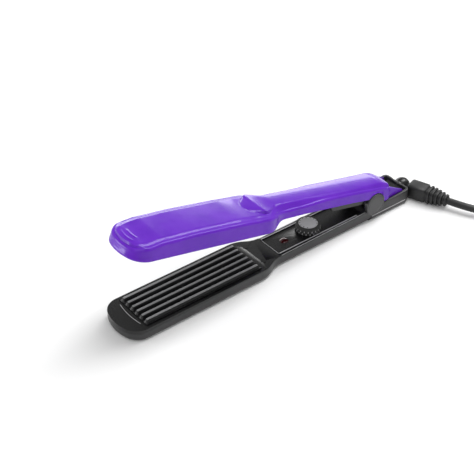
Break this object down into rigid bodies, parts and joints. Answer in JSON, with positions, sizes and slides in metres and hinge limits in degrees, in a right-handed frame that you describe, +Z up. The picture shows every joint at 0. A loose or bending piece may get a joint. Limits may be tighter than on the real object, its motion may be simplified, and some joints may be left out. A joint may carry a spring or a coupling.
{
  "type": "hair crimper",
  "caption": "Handheld hair crimper: two sprung hinged arms with ribbed heating plates, a knurled heat dial and a swivelling mains lead.",
  "frame": {"origin": "middle of the base of the crimper's own pieces, on the surface the lower arm lies on, measured without the lead and its boot", "axes": "+X along the arms from the tip to the lead end, +Y across the width, +Z up from the surface it lies on"},
  "size_m": [0.5134, 0.1254, 0.0861],
  "materials": {
    "purple_shell": "metallic purple lacquer over ABS, high gloss",
    "black_shell": "glossy black",
    "black_cover": "black, semi-gloss",
    "dark_cap": "dark grey satin",
    "plate": "dark ceramic coating on aluminium, satin",
    "heater": "ceramic heater in film",
    "mica": "mica sheet",
    "heat_resin": "heat resistant resin",
    "board": "epoxy board",
    "electronic": "moulded component",
    "lens": "smoked red lens",
    "dial_black": "knurled black",
    "dial_face": "pale grey face",
    "steel": "plated",
    "spring_steel": "oiled spring wire",
    "brass": "sintered bush",
    "swivel": "acetal",
    "boot": "soft black",
    "lead": "black flex sheath",
    "tie": "hook and loop tie",
    "plug": "moulded plug",
    "plug_pin": "nickel plated"
  },
  "bodies": {
    "root": {"board_bosses": "black_cover", "board_screws": "steel", "coil_ties": "tie", "control_board": "board", "cord_clamp": "swivel", "grip_cover": "black_cover", "hinge_cap_far": "dark_cap", "hinge_cap_near": "dark_cap", "hinge_pin": "steel", "hinge_spring": "spring_steel", "indicator_led": "lens", "indicator_lens": "lens", "inner_lead": "lead", "lead_coil": "lead", "lead_tail": "lead", "lead_tube": "lead", "lower_crimp_plate": "plate", "lower_head_cover": "black_cover", "lower_heater": "heater", "lower_mica_sheet": "mica", "lower_plate_carrier": "heat_resin", "lower_shell": "black_shell", "lower_standoffs": "heat_resin", "lower_thermal_fuse": "steel", "neck_screws": "steel", "plug_body": "plug", "plug_pins": "plug_pin", "potentiometer": "electronic", "power_switch_chip": "electronic", "rear_cover_screws": "steel", "rear_lower_cover": "black_shell", "smoothing_capacitor": "electronic", "swivel_housing": "black_shell"},
    "upper_arm": {"hinge_bushes": "brass", "upper_cover_screws": "steel", "upper_crimp_plate": "plate", "upper_grip_cover": "black_cover", "upper_head_cover": "black_cover", "upper_heater": "heater", "upper_hinge_yoke": "black_cover", "upper_mica_sheet": "mica", "upper_plate_carrier": "heat_resin", "upper_shell": "purple_shell", "upper_standoffs": "heat_resin", "upper_thermal_fuse": "steel"},
    "heat_dial": {"heat_dial": "dial_black", "dial_inlay": "dial_face", "dial_shaft": "electronic"},
    "lead_swivel": {"swivel_ball": "swivel", "cord_boot": "boot"}
  },
  "joints": [
    {"name": "arm_hinge", "type": "hinge", "parent": "root", "child": "upper_arm", "pos_m": [0.104, 0, 0.0166], "axis": [0, 1, 0], "range_deg": [-13.2, 0], "stiffness_Nm_per_rad": 1.6, "springref_deg": 20.05},
    {"name": "dial_turn", "type": "hinge", "parent": "root", "child": "heat_dial", "pos_m": [0.039, 0, 0.0094], "axis": [0, 0, -1], "range_deg": [0, 270]},
    {"name": "lead_swivel_turn", "type": "hinge", "parent": "root", "child": "lead_swivel", "pos_m": [0.1539, 0, 0.0076], "axis": [0.319, -0.9478, 0], "continuous": true}
  ]
}
